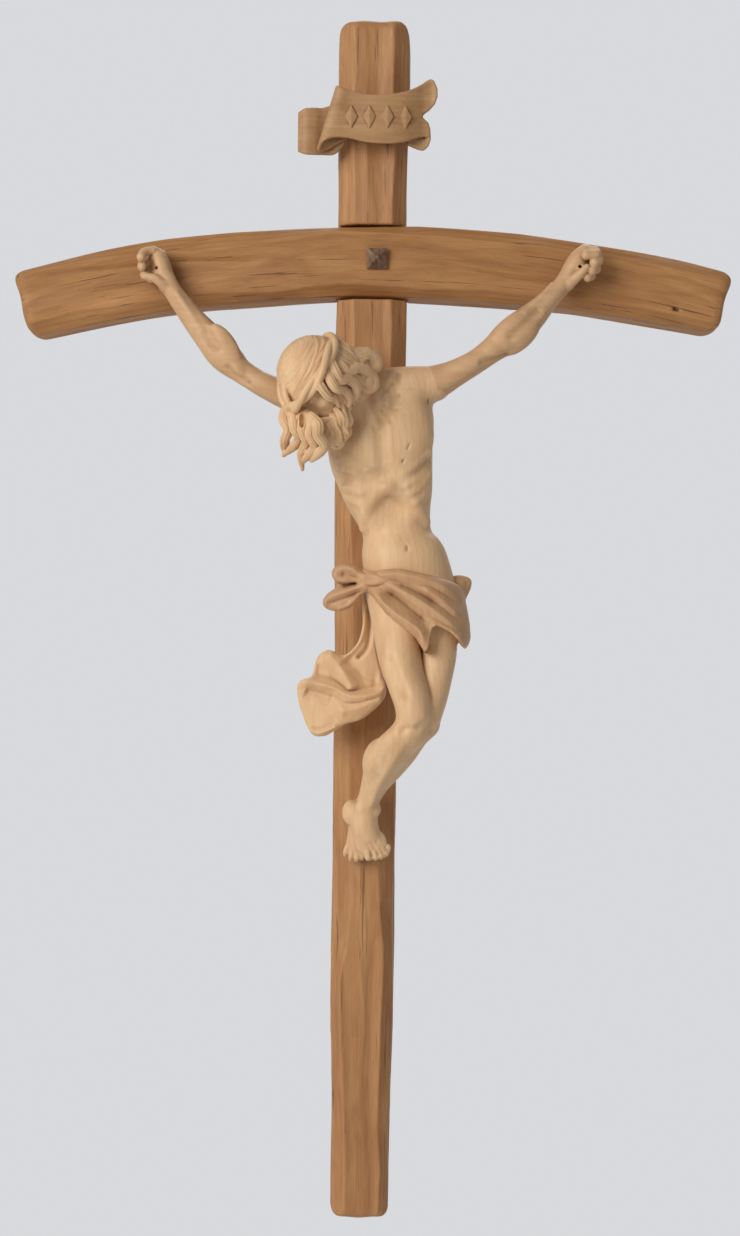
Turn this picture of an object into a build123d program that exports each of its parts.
from build123d import *

import os
from math import asin, cos, degrees, sin

# A hand-carved hanging altar cross: two hewn beams in a cross-lap joint, a ribbon scroll, and a carved corpus.
#
# Frame, in millimetres: X to the viewer's right, Y towards the wall, Z up. The origin is on the flat back of the
# upright, at the centre of the crossing. Right and left in the names are the figure's own.


# ---- Driving dimensions -------------------------------------------------------------------------------------
TOP_Z = 141.0  # top of the upright
FOOT_Z = -559.0  # foot of the upright
UPRIGHT_THICK = 26.0
TOP_LEFT, TOP_RIGHT = -20.3, 22.0  # the hewn upright tapers, mostly along its right edge
FOOT_LEFT, FOOT_RIGHT = -21.5, 13.3
UPRIGHT_CHAMFER = 5.0

BEAM_RADIUS = 777.0  # the crossbeam is arched: radius of its centre line
BEAM_HEIGHT = 43.5
BEAM_HALF_SPAN = 205.0  # along X, at the centre line
BEAM_THICK = 27.0  # stands 1 mm proud of the upright
BEAM_CHAMFER = 4.5
LAP_Y = -13.0  # face where the two halves of the lap joint meet

PEG_X, PEG_Z = 3.0, 1.0
PEG_SHANK_R, PEG_DEPTH = 4.5, 20.0
PEG_HEAD, PEG_RIM, PEG_POINT = 12.0, 1.6, 5.2

SCREW_R, SCREW_HEAD_R, SCREW_HEAD_H = 2.0, 4.0, 2.4
HEAD_SINK = 0.6  # how far a screw head sits below the back face
SCREW_TIP_H = 4.0

POCKET_W, POCKET_H, POCKET_DEPTH, POCKET_Z = 24.0, 42.0, 8.0, 100.0
PLATE_W, PLATE_THICK, PLATE_LOW, PLATE_CORNER = 15.0, 1.2, 82.5, 2.0
RING_WIRE_R, RING_CLEARANCE = 1.0, 0.08
RING_HALF_W, RING_LEG, RING_CORNER = 7.0, 7.5, 2.0
RING_AXIS_Y, RING_AXIS_Z = -5.1, 102.0
KNUCKLE_R, KNUCKLE_W = 2.1, 9.0
HANGER_SCREW_R, HANGER_HEAD_R, HANGER_SCREW_L = 1.3, 2.5, 11.0
HANGER_SCREW_Z = (86.5, 95.5)

SCROLL_THICK = 3.0
SCROLL_LOW, SCROLL_HIGH = 60.5, 98.0
SCROLL_FRONT_Y = -33.5  # centre line of the front panel
SCROLL_BACK_Y = -28.6  # centre line of the folded ends
SCROLL_TIP = (37.5, 105.5)
SCROLL_DOWEL_R, SCROLL_DOWEL_Z = 3.0, 80.0

SCROLL_DOWEL_X = (-5.0, 9.0)
SCROLL_DOWEL_FRONT, SCROLL_DOWEL_BACK = -31.5, -14.0

DOWEL_R, DOWEL_HALF = 3.0, 9.0
NAIL_R, NAIL_HEAD_R, NAIL_HEAD_H, NAIL_LENGTH = 0.8, 1.7, 0.8, 18.0
HAND_NAIL_AT = ((-124.5, -7.0), (120.0, -5.0))
HAND_NAIL_Y = -37.0  # underside of the brads' heads, inside the closed hands
LAP_SCREW_AT = ((-13.0, 12.0), (13.0, -12.0))
LAP_SCREW_LENGTH = 20.0
CORPUS_SCREW_AT = ((5.0, -115.0), (9.0, -196.0))
CORPUS_SCREW_LENGTH = 42.0

UPRIGHT_FRONT = -UPRIGHT_THICK
BEAM_FRONT = -BEAM_THICK

# ---- The corpus: stations of (x, y, z, half width, half depth) along each limb --------------------------------
TORSO = [
    (4.0, -46.0, -76.0, 16.0, 12.0),
    (4.0, -46.0, -88.0, 30.0, 18.0),
    (6.0, -47.5, -112.0, 29.5, 22.5),
    (9.0, -47.0, -132.0, 26.0, 22.0),
    (15.0, -44.5, -157.0, 19.8, 18.0),
    (20.5, -44.5, -175.0, 24.0, 19.5),
    (26.5, -46.0, -196.0, 29.0, 22.0),
    (27.5, -48.0, -216.0, 26.5, 20.0),
]
RIGHT_LEG = [
    (14.5, -52.0, -197.0, 15.5, 16.0),
    (16.0, -61.0, -221.0, 14.3, 14.5),
    (20.5, -71.0, -246.0, 13.0, 13.0),
    (22.0, -75.0, -262.0, 11.5, 12.0),
    (14.0, -69.0, -279.0, 11.8, 11.5),
    (8.5, -58.0, -295.0, 10.0, 10.5),
    (1.0, -46.5, -313.0, 6.6, 7.5),
]
LEFT_LEG = [
    (40.0, -50.0, -200.0, 14.0, 15.5),
    (41.0, -57.0, -230.0, 13.0, 13.5),
    (38.0, -64.5, -258.0, 11.0, 11.5),
    (31.0, -59.0, -274.0, 10.5, 10.5),
    (19.0, -45.5, -296.0, 8.5, 9.0),
    (3.0, -36.0, -318.0, 5.5, 6.0),
]
RIGHT_FOOT = [
    (-3.0, -42.0, -311.0, 9.0, 8.5),
    (-2.0, -42.5, -324.0, 9.5, 7.5),
    (2.5, -43.0, -338.0, 10.0, 5.0),
    (5.0, -42.0, -349.0, 8.5, 3.2),
]
LEFT_FOOT = [
    (0.0, -34.5, -315.0, 8.0, 6.0),
    (-3.0, -32.5, -330.0, 8.5, 5.0),
    (-6.5, -31.0, -348.5, 8.0, 3.4),
]
SHOULDERS = [
    (-27.0, -47.0, -87.0, 10.0, 10.5),
    (-10.0, -47.0, -82.0, 13.5, 15.0),
    (8.0, -47.0, -79.0, 14.0, 16.0),
    (22.0, -47.0, -77.0, 13.0, 14.5),
    (38.0, -47.0, -73.0, 10.0, 11.0),
]
NECK = [
    (5.0, -48.0, -88.0, 13.0, 12.0),
    (-8.0, -58.0, -80.0, 12.0, 12.0),
    (-24.0, -70.0, -76.0, 13.0, 13.0),
]
FACE = [
    (-30.0, -78.0, -78.0, 16.0, 15.0),
    (-21.0, -85.0, -92.0, 13.0, 13.0),
    (-15.0, -84.0, -107.0, 7.5, 8.0),
]
SIDE_LOCK = [
    (-44.0, -71.0, -84.0, 8.5, 8.0),
    (-42.5, -68.0, -105.0, 8.5, 7.5),
    (-39.5, -62.0, -121.0, 5.5, 5.0),
]
SKULL_AT, SKULL_R = (-33.0, -74.0, -71.0), 21.5
BROW_CURL = [
    (-18.0, -70.0, -62.0, 9.0, 9.0),
    (-4.0, -66.0, -62.0, 6.5, 7.0),
    (4.0, -62.0, -70.0, 4.0, 5.0),
]

RIGHT_ARM = [
    (-19.0, -47.0, -88.5, 10.0, 10.0),
    (-42.0, -47.5, -83.0, 8.2, 8.6),
    (-64.0, -47.5, -74.5, 7.8, 8.2),
    (-84.0, -46.0, -58.0, 9.2, 9.0),
    (-99.0, -43.0, -39.0, 8.0, 8.0),
    (-116.0, -38.0, -18.5, 5.4, 5.6),
]
LEFT_ARM = [
    (28.0, -47.0, -76.0, 10.5, 11.0),
    (46.0, -47.0, -69.5, 8.8, 9.2),
    (67.0, -47.0, -58.0, 8.3, 8.4),
    (83.0, -45.5, -41.0, 9.4, 9.0),
    (97.0, -42.5, -25.0, 7.6, 7.8),
    (110.0, -38.0, -11.0, 5.4, 5.6),
]
RIGHT_HAND = [
    (-114.0, -37.5, -20.0, 6.0, 5.5),
    (-122.0, -37.0, -9.0, 8.5, 8.5),
    (-127.0, -37.0, 1.5, 7.5, 8.0),
]
LEFT_HAND = [
    (108.0, -37.5, -13.0, 6.0, 5.5),
    (118.0, -37.0, -4.0, 8.5, 8.5),
    (126.0, -37.0, 4.0, 7.5, 8.0),
]
# Planes where the separately carved arms are glued on: a point and the normal that points into the arm.
RIGHT_SHOULDER_CUT = ((-27.0, -47.0, -86.5), (-0.96, 0.0, 0.28))
LEFT_SHOULDER_CUT = ((36.0, -47.0, -73.5), (0.94, 0.0, 0.34))

BOW = [
    (0.5, -58.0, -184.0, 4.5, 4.0),
    (-9.0, -55.0, -186.0, 8.0, 8.0),
    (-18.0, -52.0, -190.0, 10.5, 9.0),
    (-25.0, -50.0, -194.0, 7.0, 6.5),
]
TAIL = [
    (-1.5, -46.0, -195.0, 3.0, 5.0),
    (-1.0, -45.0, -218.0, 4.0, 6.5),
    (-3.5, -43.0, -240.0, 13.5, 7.5),
    (-18.0, -43.0, -252.0, 20.0, 8.0),
    (-33.0, -44.0, -257.0, 18.5, 8.0),
    (-40.0, -45.0, -256.0, 12.0, 6.0),
]


# ---- Helpers ------------------------------------------------------------------------------------------------
def limb(stations):
    """A smooth closed body through elliptical sections, each square to the line that the stations follow."""
    points = [Vector(x, y, z) for x, y, z, _, _ in stations]
    sections = []
    for i, (_, _, _, half_width, half_depth) in enumerate(stations):
        before, after = points[max(i - 1, 0)], points[min(i + 1, len(points) - 1)]
        along = (after - before).normalized()
        across = along.cross(Vector(0, 1, 0)).normalized()
        section = Plane(origin=points[i], x_dir=across, z_dir=along)
        sections.append(section * Ellipse(half_width, half_depth))
    return loft(sections)


def block(low, high):
    """A box from its lowest corner to its highest corner."""
    size = Vector(*high) - Vector(*low)
    return Pos(*low) * Box(size.X, size.Y, size.Z, align=Align.MIN)


def along_y(radius, y_front, y_back, x, z):
    """A round bar along Y between two depths."""
    bar = Cylinder(radius, y_back - y_front, align=(Align.CENTER, Align.CENTER, Align.MIN))
    return Pos(x, y_front, z) * Rot(-90, 0, 0) * bar


def cone_y(front_radius, back_radius, y_front, y_back, x, z):
    """A cone along Y between two depths."""
    cone = Cone(front_radius, back_radius, y_back - y_front, align=(Align.CENTER, Align.CENTER, Align.MIN))
    return Pos(x, y_front, z) * Rot(-90, 0, 0) * cone


def wood_screw(x, z, head_y, length, radius=SCREW_R, head_radius=SCREW_HEAD_R, head_height=SCREW_HEAD_H):
    """A countersunk screw driven from the back towards the front, with a cross recess in its head."""
    tip_y = head_y - length
    shank = along_y(radius, tip_y + SCREW_TIP_H, head_y - head_height, x, z)
    tip = cone_y(0.3, radius, tip_y, tip_y + SCREW_TIP_H, x, z)
    head = cone_y(radius, head_radius, head_y - head_height, head_y, x, z)
    slot_half, slot_depth = head_radius * 0.55, head_height * 0.4
    slot_width = head_radius * 0.22
    recess = block((x - slot_half, head_y - slot_depth, z - slot_width / 2), (x + slot_half, head_y, z + slot_width / 2))
    recess += block((x - slot_width / 2, head_y - slot_depth, z - slot_half), (x + slot_width / 2, head_y, z + slot_half))
    return shank + tip + head, recess


def screw_hole(x, z, head_y, length, radius=SCREW_R, head_radius=SCREW_HEAD_R, head_height=SCREW_HEAD_H):
    """The room that a screw takes, with its head's counterbore open to the back."""
    body, _ = wood_screw(x, z, head_y, length, radius, head_radius, head_height)
    return body + along_y(head_radius, head_y, 1.0, x, z)


def beyond(point, normal, reach=160.0):
    """The half of space on the normal's side of a plane, as a large block."""
    face = Plane(origin=point, z_dir=normal)
    return face * Box(reach, reach, reach, align=(Align.CENTER, Align.CENTER, Align.MIN))


def joint_dowel(point, normal):
    """A glue dowel centred on a plane and square to it."""
    return Plane(origin=point, z_dir=normal) * Cylinder(DOWEL_R, 2 * DOWEL_HALF)


# ---- Beams --------------------------------------------------------------------------------------------------
def upright_blank():
    """The tapered, chamfered post before any joint is cut."""
    outline = Polyline(
        (TOP_LEFT, TOP_Z), (TOP_RIGHT, TOP_Z), (FOOT_RIGHT, FOOT_Z), (FOOT_LEFT, FOOT_Z), close=True
    )
    post = extrude(Plane.XZ * make_face(outline), UPRIGHT_THICK)
    front_edges = post.edges().group_by(Axis.Y)[0]
    return chamfer(front_edges, UPRIGHT_CHAMFER)


def crossbeam_blank():
    """The arched, chamfered beam before any joint is cut."""
    half_angle = asin(BEAM_HALF_SPAN / BEAM_RADIUS)
    centre = (0, -BEAM_RADIUS)

    def corner(radius, side):
        return (side * radius * sin(half_angle), centre[1] + radius * cos(half_angle))

    outer, inner = BEAM_RADIUS + BEAM_HEIGHT / 2, BEAM_RADIUS - BEAM_HEIGHT / 2
    start, sweep_angle = 90 - degrees(half_angle), 2 * degrees(half_angle)
    outline = [
        CenterArc(centre, outer, start, sweep_angle),
        Line(corner(outer, -1), corner(inner, -1)),
        CenterArc(centre, inner, start, sweep_angle),
        Line(corner(inner, 1), corner(outer, 1)),
    ]
    beam = extrude(Plane.XZ * make_face(outline), BEAM_THICK)
    front_edges = beam.edges().group_by(Axis.Y)[0]
    return chamfer(front_edges, BEAM_CHAMFER)


# ---- Carved pieces ------------------------------------------------------------------------------------------
def scroll_ribbon():
    """The carved ribbon: a bowed front panel, both ends folded behind it, and a glue pad on the back."""
    with BuildLine() as path:
        Polyline((-41.5, SCROLL_BACK_Y), (-24.0, SCROLL_BACK_Y - 0.4), (-20.0, SCROLL_BACK_Y - 2.4))
        Spline((-20.0, SCROLL_BACK_Y - 2.4), (-12.0, SCROLL_FRONT_Y), (3.0, SCROLL_FRONT_Y - 1.2),
               (16.0, SCROLL_FRONT_Y), (24.0, SCROLL_BACK_Y - 2.4))
        Polyline((24.0, SCROLL_BACK_Y - 2.4), (28.0, SCROLL_BACK_Y - 0.4), (37.5, SCROLL_BACK_Y))
    ribbon = extrude(trace(path.line, line_width=SCROLL_THICK), SCROLL_TIP[1] - SCROLL_LOW)
    ribbon = Pos(0, 0, SCROLL_LOW) * ribbon
    outline = [
        Line((-43.0, SCROLL_LOW), (-43.0, 86.0)),
        Line((-43.0, 86.0), (-30.0, 88.0)),
        Line((-30.0, 88.0), (-14.0, SCROLL_HIGH)),
        ThreePointArc((-14.0, SCROLL_HIGH), (3.0, 93.5), (22.0, 97.0)),
        Line((22.0, 97.0), SCROLL_TIP),
        Line(SCROLL_TIP, (38.9, 93.0)),
        Line((38.9, 93.0), (33.5, 66.0)),
        Line((33.5, 66.0), (22.0, 69.5)),
        ThreePointArc((22.0, 69.5), (3.0, 66.5), (-18.0, 72.5)),
        Line((-18.0, 72.5), (-24.0, SCROLL_LOW)),
        Line((-24.0, SCROLL_LOW), (-43.0, SCROLL_LOW)),
    ]
    window = extrude(Plane.XZ * make_face(outline), 40)
    pad = block((-12.0, SCROLL_FRONT_Y, 74.0), (15.0, UPRIGHT_FRONT, 92.0))
    return (ribbon & window) + pad


def carved_body():
    """Torso, legs, feet, neck and head, carved from one block, before the glue faces are cut."""
    body = limb(TORSO)
    for stations in (SHOULDERS, RIGHT_LEG, LEFT_LEG, RIGHT_FOOT, LEFT_FOOT, NECK, FACE, SIDE_LOCK, BROW_CURL):
        body += limb(stations)
    body += Pos(*SKULL_AT) * Sphere(SKULL_R)
    return body


def arm(upper, hand):
    """An arm with its closed hand."""
    return limb(upper) + limb(hand)


# ---- Hanger -------------------------------------------------------------------------------------------------
def hanger_plate(floor_y):
    """A brass plate folded into a knuckle at its top edge."""
    surface_y = floor_y + PLATE_THICK
    plate = block((-PLATE_W / 2, floor_y, PLATE_LOW), (PLATE_W / 2, surface_y, RING_AXIS_Z - KNUCKLE_R - 0.6))
    plate = fillet(plate.edges().filter_by(Axis.Y).group_by(Axis.Z)[0], PLATE_CORNER)
    web = block((-KNUCKLE_W / 2, floor_y, RING_AXIS_Z - KNUCKLE_R - 2.0), (KNUCKLE_W / 2, surface_y, RING_AXIS_Z))
    knuckle = Pos(0, RING_AXIS_Y, RING_AXIS_Z) * Rot(0, 90, 0) * Cylinder(KNUCKLE_R, KNUCKLE_W)
    bore_r = RING_WIRE_R + RING_CLEARANCE
    bore = Pos(0, RING_AXIS_Y, RING_AXIS_Z) * Rot(0, 90, 0) * Cylinder(bore_r, KNUCKLE_W + 2)
    return plate + web + knuckle - bore


def hanger_ring():
    """A D-shaped wire ring, hanging down from the knuckle."""
    low_z = RING_AXIS_Z - RING_LEG
    bottom_z = low_z - RING_HALF_W
    inner_x, inner_z = RING_HALF_W - RING_CORNER, RING_AXIS_Z - RING_CORNER
    with BuildLine(Plane.XZ.offset(-RING_AXIS_Y)) as path:
        RadiusArc((0, bottom_z), (RING_HALF_W, low_z), -RING_HALF_W)
        Line((RING_HALF_W, low_z), (RING_HALF_W, inner_z))
        RadiusArc((RING_HALF_W, inner_z), (inner_x, RING_AXIS_Z), -RING_CORNER)
        Line((inner_x, RING_AXIS_Z), (-inner_x, RING_AXIS_Z))
        RadiusArc((-inner_x, RING_AXIS_Z), (-RING_HALF_W, inner_z), -RING_CORNER)
        Line((-RING_HALF_W, inner_z), (-RING_HALF_W, low_z))
        RadiusArc((-RING_HALF_W, low_z), (0, bottom_z), -RING_HALF_W)
    start = Plane(origin=(0, RING_AXIS_Y, bottom_z), z_dir=(1, 0, 0))
    return sweep(start * Circle(RING_WIRE_R), path=path.line)


# ---- Assembly -----------------------------------------------------------------------------------------------
# Cross-lap joint: each beam gives up half its thickness at the crossing.
upright = upright_blank()
crossbeam = crossbeam_blank()
front_half = block((-60, -60, -80), (60, LAP_Y, 80))
lap_room = crossbeam & front_half
crossbeam -= upright - front_half
upright -= lap_room

# A square peg with a pyramid head pins the joint.
shank = along_y(PEG_SHANK_R, BEAM_FRONT, BEAM_FRONT + PEG_DEPTH, PEG_X, PEG_Z)
half_head = PEG_HEAD / 2
rim = block(
    (PEG_X - half_head, BEAM_FRONT - PEG_RIM, PEG_Z - half_head), (PEG_X + half_head, BEAM_FRONT, PEG_Z + half_head)
)
point_base = Plane(origin=(PEG_X, BEAM_FRONT - PEG_RIM, PEG_Z), x_dir=(1, 0, 0), z_dir=(0, -1, 0))
point_tip = point_base.offset(PEG_POINT)
pyramid = loft([point_base * Rectangle(PEG_HEAD, PEG_HEAD), point_tip * Rectangle(0.4, 0.4)])
crossing_peg = shank + rim + pyramid
crossbeam -= shank
upright -= shank

# The corpus, with its arms glued on at the shoulders.
corpus = carved_body()
arm_right = arm(RIGHT_ARM, RIGHT_HAND) & beyond(*RIGHT_SHOULDER_CUT)
arm_left = arm(LEFT_ARM, LEFT_HAND) & beyond(*LEFT_SHOULDER_CUT)
arm_right -= block((-200, BEAM_FRONT, -200), (200, 40, 200))
arm_left -= block((-200, BEAM_FRONT, -200), (200, 40, 200))
corpus -= block((-200, UPRIGHT_FRONT, -500), (200, 40, 100))
corpus -= beyond(*RIGHT_SHOULDER_CUT) & block((-80, -62, -104), (-15, 0, -60))
corpus -= beyond(*LEFT_SHOULDER_CUT) & block((20, -80, -100), (80, 0, -40))
corpus -= arm_right
corpus -= arm_left
shoulder_dowel_right = joint_dowel(*RIGHT_SHOULDER_CUT)
shoulder_dowel_left = joint_dowel(*LEFT_SHOULDER_CUT)
arm_right -= shoulder_dowel_right
arm_left -= shoulder_dowel_left
corpus -= shoulder_dowel_right
corpus -= shoulder_dowel_left

# The knot and the flying end of the loincloth are carved separately and glued on.
loincloth_knot = limb(BOW) - corpus
loincloth_tail = limb(TAIL) - corpus - loincloth_knot
loincloth_tail -= block((-200, UPRIGHT_FRONT, -500), (200, 40, 100))

# Brads hold the closed hands to the crossbeam.
hand_nails = []
for x, z in HAND_NAIL_AT:
    nail = along_y(NAIL_R, HAND_NAIL_Y, HAND_NAIL_Y + NAIL_LENGTH, x, z)
    nail += along_y(NAIL_HEAD_R, HAND_NAIL_Y - NAIL_HEAD_H, HAND_NAIL_Y, x, z)
    room = nail + along_y(NAIL_HEAD_R, -60.0, HAND_NAIL_Y, x, z)
    arm_right -= room
    arm_left -= room
    crossbeam -= nail
    hand_nails.append(nail)

# Screws from the back hold the lap joint together and the corpus to the upright.
lap_screws = []
for x, z in LAP_SCREW_AT:
    screw, recess = wood_screw(x, z, -HEAD_SINK, LAP_SCREW_LENGTH)
    room = screw_hole(x, z, -HEAD_SINK, LAP_SCREW_LENGTH)
    upright -= room
    crossbeam -= room
    lap_screws.append(screw - recess)
corpus_screws = []
for x, z in CORPUS_SCREW_AT:
    screw, recess = wood_screw(x, z, -HEAD_SINK, CORPUS_SCREW_LENGTH)
    room = screw_hole(x, z, -HEAD_SINK, CORPUS_SCREW_LENGTH)
    upright -= room
    corpus -= room
    corpus_screws.append(screw - recess)

# The scroll sits on two dowels.
scroll = scroll_ribbon()
scroll_dowels = []
for x in SCROLL_DOWEL_X:
    dowel = along_y(SCROLL_DOWEL_R, SCROLL_DOWEL_FRONT, SCROLL_DOWEL_BACK, x, SCROLL_DOWEL_Z)
    scroll -= dowel
    upright -= dowel
    scroll_dowels.append(dowel)

# The hanger lies in a pocket in the back, clear of the wall.
pocket_floor = -POCKET_DEPTH
upright -= block(
    (-POCKET_W / 2, pocket_floor, POCKET_Z - POCKET_H / 2), (POCKET_W / 2, 10.0, POCKET_Z + POCKET_H / 2)
)
plate = hanger_plate(pocket_floor)
hanger_screws = []
for z in HANGER_SCREW_Z:
    size = (HANGER_SCREW_R, HANGER_HEAD_R, PLATE_THICK)
    screw, recess = wood_screw(0.0, z, pocket_floor + PLATE_THICK, HANGER_SCREW_L, *size)
    room = screw_hole(0.0, z, pocket_floor + PLATE_THICK, HANGER_SCREW_L, *size)
    plate -= room
    upright -= room
    hanger_screws.append(screw - recess)

nodes = {
    "upright": upright,
    "crossbeam": crossbeam,
    "crossing_peg": crossing_peg,
    "scroll": scroll,
    "corpus_body": corpus,
    "arm_right": arm_right,
    "arm_left": arm_left,
    "shoulder_dowel_right": shoulder_dowel_right,
    "shoulder_dowel_left": shoulder_dowel_left,
    "loincloth_knot": loincloth_knot,
    "loincloth_tail": loincloth_tail,
    "hanger_plate": plate,
    "hanger_ring": hanger_ring(),
}
repeated = {
    "scroll_dowel": scroll_dowels,
    "hand_nail": hand_nails,
    "lap_screw": lap_screws,
    "corpus_screw": corpus_screws,
    "hanger_screw": hanger_screws,
}
for name, copies in repeated.items():
    for number, copy in enumerate(copies, start=1):
        nodes[f"{name}_{number}"] = copy

os.makedirs("parts", exist_ok=True)
for name, shape in nodes.items():
    export_step(shape, f"parts/{name}.step")
